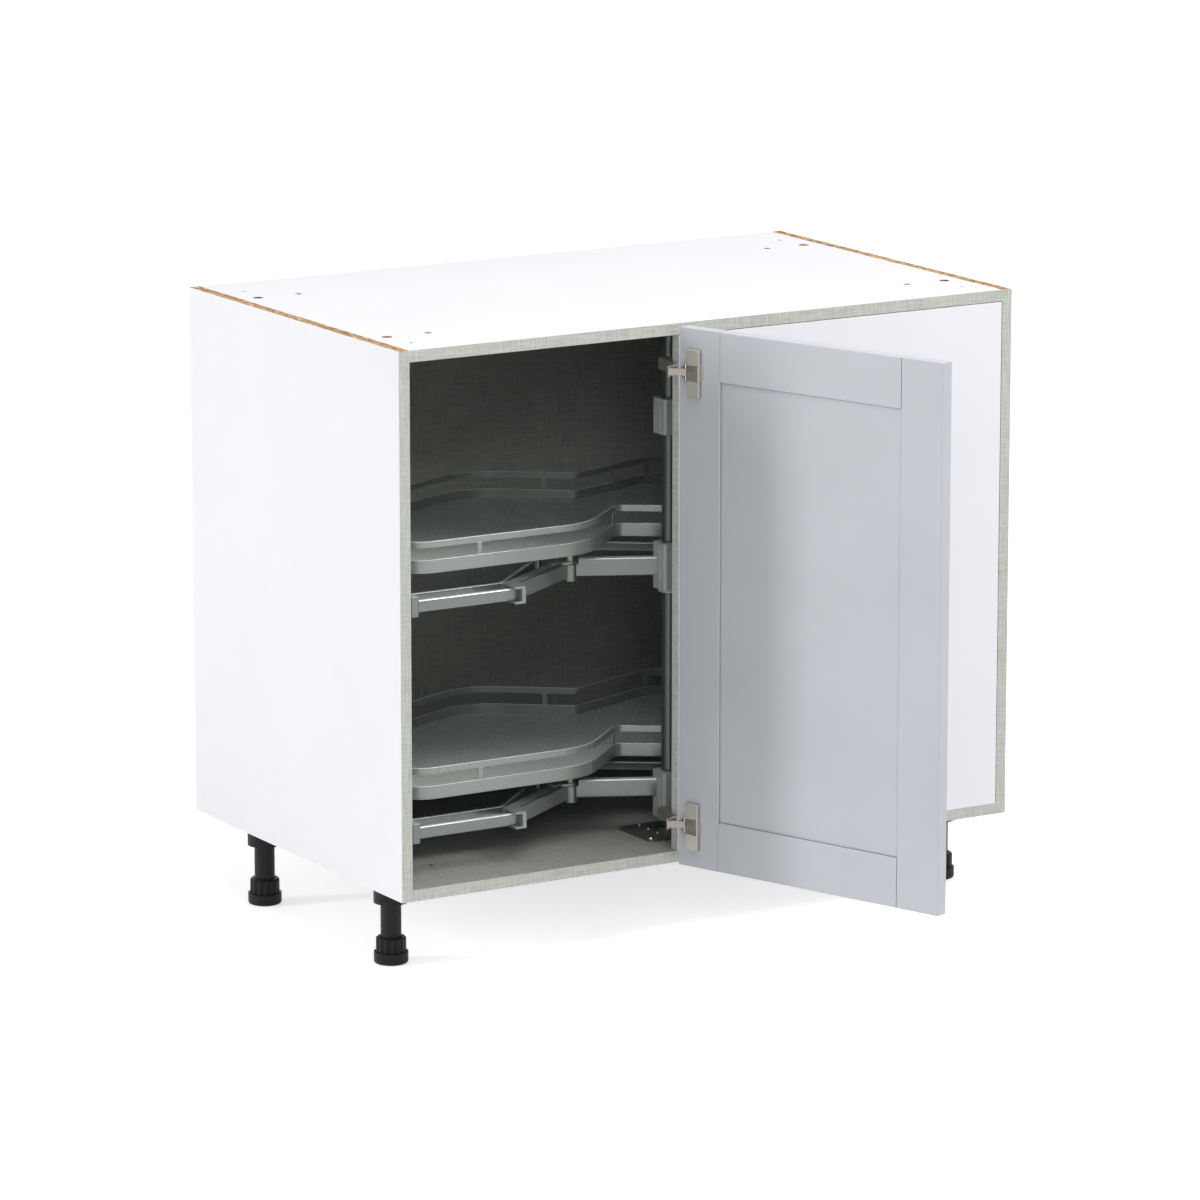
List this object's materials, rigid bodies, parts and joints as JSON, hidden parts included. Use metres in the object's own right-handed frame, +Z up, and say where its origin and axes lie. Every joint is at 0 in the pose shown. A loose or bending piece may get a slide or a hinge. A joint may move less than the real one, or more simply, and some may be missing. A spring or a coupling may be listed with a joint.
{
  "type": "blind corner base cabinet",
  "caption": "Frameless blind corner base cabinet on plastic legs with a shaker door on cup hinges and kidney-shaped swing-out trays on a pivot post.",
  "frame": {"origin": "on the floor, under the middle of the whole object's box with the door open as pictured", "axes": "+X to the cabinet's right seen from the front, +Y to its back, +Z up"},
  "size_m": [0.9906, 1.0459, 0.8763],
  "materials": {
    "melamine_board": "white melamine, satin; linen grey inside",
    "linen_edge_band": "linen-grey edge banding",
    "beech": "raw",
    "door_paint": "satin blue-grey paint",
    "black_plastic": "fine matte",
    "nickel": "bright nickel",
    "zinc_screw": "bright zinc",
    "grey_steel": "satin grey-green",
    "light_alloy": "satin cast alloy",
    "grey_plastic": "satin",
    "tray_floor_board": "fine non-slip emboss",
    "cream_bush": "natural nylon"
  },
  "bodies": {
    "cabinet": {"side_panel_left": "melamine_board", "side_panel_right": "melamine_board", "top_panel": "melamine_board", "bottom_panel": "melamine_board", "back_panel": "melamine_board", "blind_panel": "melamine_board", "carcass_edge_bands": "linen_edge_band", "blind_edge_band": "linen_edge_band", "board_dowels": "beech", "leg_sockets": "black_plastic", "leg_tubes": "black_plastic", "pivot_post": "grey_steel", "post_foot_plate": "grey_steel", "post_top_plate": "grey_steel", "post_clip": "grey_plastic", "arm_stop_rings": "grey_plastic", "post_plate_screws": "zinc_screw", "hinge_arms": "nickel", "hinge_arm_pins": "nickel", "hinge_brackets": "nickel", "hinge_bracket_screws": "zinc_screw"},
    "foot_front_left": {"foot_front_left": "black_plastic"},
    "foot_front_right": {"foot_front_right": "black_plastic"},
    "foot_back_left": {"foot_back_left": "black_plastic"},
    "foot_back_right": {"foot_back_right": "black_plastic"},
    "door": {"door_stile_free": "door_paint", "door_stile_hinge": "door_paint", "door_panel": "door_paint", "door_rail_bottom": "door_paint", "door_rail_top": "door_paint", "hinge_cups": "nickel", "hinge_cup_pins": "nickel", "hinge_cup_screws": "zinc_screw"},
    "hinge_links": {"hinge_links": "nickel"},
    "lower_arm": {"lower_arm_collar": "grey_plastic", "lower_swing_arm": "grey_steel"},
    "lower_tray": {"lower_elbow_pin": "cream_bush", "lower_link_arm": "grey_steel", "lower_rail_clamp": "light_alloy", "lower_front_rail": "grey_steel", "lower_rear_rail": "grey_steel", "lower_rail_end_fitting": "grey_steel", "lower_tray_floor": "tray_floor_board", "lower_tray_rim_band": "grey_steel", "lower_tray_top_rail": "grey_steel", "lower_tray_uprights": "grey_steel", "lower_tray_bearer": "grey_steel"},
    "upper_arm": {"upper_arm_collar": "grey_plastic", "upper_swing_arm": "grey_steel"},
    "upper_tray": {"upper_elbow_pin": "cream_bush", "upper_link_arm": "grey_steel", "upper_rail_clamp": "light_alloy", "upper_front_rail": "grey_steel", "upper_rear_rail": "grey_steel", "upper_rail_end_fitting": "grey_steel", "upper_tray_floor": "tray_floor_board", "upper_tray_rim_band": "grey_steel", "upper_tray_top_rail": "grey_steel", "upper_tray_uprights": "grey_steel", "upper_tray_bearer": "grey_steel"}
  },
  "joints": [
    {"name": "hinge_link_pivot", "type": "hinge", "parent": "cabinet", "child": "hinge_links", "pos_m": [-0.07923, -0.09696, 0.4953], "axis": [0, 0, -1], "range_deg": [-61.04, 0]},
    {"name": "door_hinge", "type": "hinge", "parent": "hinge_links", "child": "door", "pos_m": [-0.06141, -0.11274, 0.4953], "axis": [0, 0, 1], "range_deg": [-171.04, 0]},
    {"name": "upper_arm_swing", "type": "hinge", "parent": "cabinet", "child": "upper_arm", "pos_m": [-0.0126, 0.00749, 0.5443], "axis": [0, 0, 1], "range_deg": [0, 60]},
    {"name": "upper_tray_swing", "type": "hinge", "parent": "upper_arm", "child": "upper_tray", "pos_m": [-0.13843, 0.06886, 0.5443], "axis": [0, 0, 1], "range_deg": [0, 18]},
    {"name": "lower_arm_swing", "type": "hinge", "parent": "cabinet", "child": "lower_arm", "pos_m": [-0.0126, 0.00749, 0.2263], "axis": [0, 0, 1], "range_deg": [0, 60]},
    {"name": "lower_tray_swing", "type": "hinge", "parent": "lower_arm", "child": "lower_tray", "pos_m": [-0.13843, 0.06886, 0.2263], "axis": [0, 0, 1], "range_deg": [0, 18]},
    {"name": "foot_front_left_level", "type": "slide", "parent": "cabinet", "child": "foot_front_left", "axis": [0, 0, -1], "range_m": [0, 0.012]},
    {"name": "foot_front_right_level", "type": "slide", "parent": "cabinet", "child": "foot_front_right", "axis": [0, 0, -1], "range_m": [0, 0.012]},
    {"name": "foot_back_left_level", "type": "slide", "parent": "cabinet", "child": "foot_back_left", "axis": [0, 0, -1], "range_m": [0, 0.012]},
    {"name": "foot_back_right_level", "type": "slide", "parent": "cabinet", "child": "foot_back_right", "axis": [0, 0, -1], "range_m": [0, 0.012]}
  ],
  "couplings": [
    {"joint": "door_hinge", "follows": "hinge_link_pivot", "ratio": 2.8021},
    {"joint": "upper_tray_swing", "follows": "upper_arm_swing", "ratio": 0.3},
    {"joint": "lower_tray_swing", "follows": "lower_arm_swing", "ratio": 0.3}
  ]
}
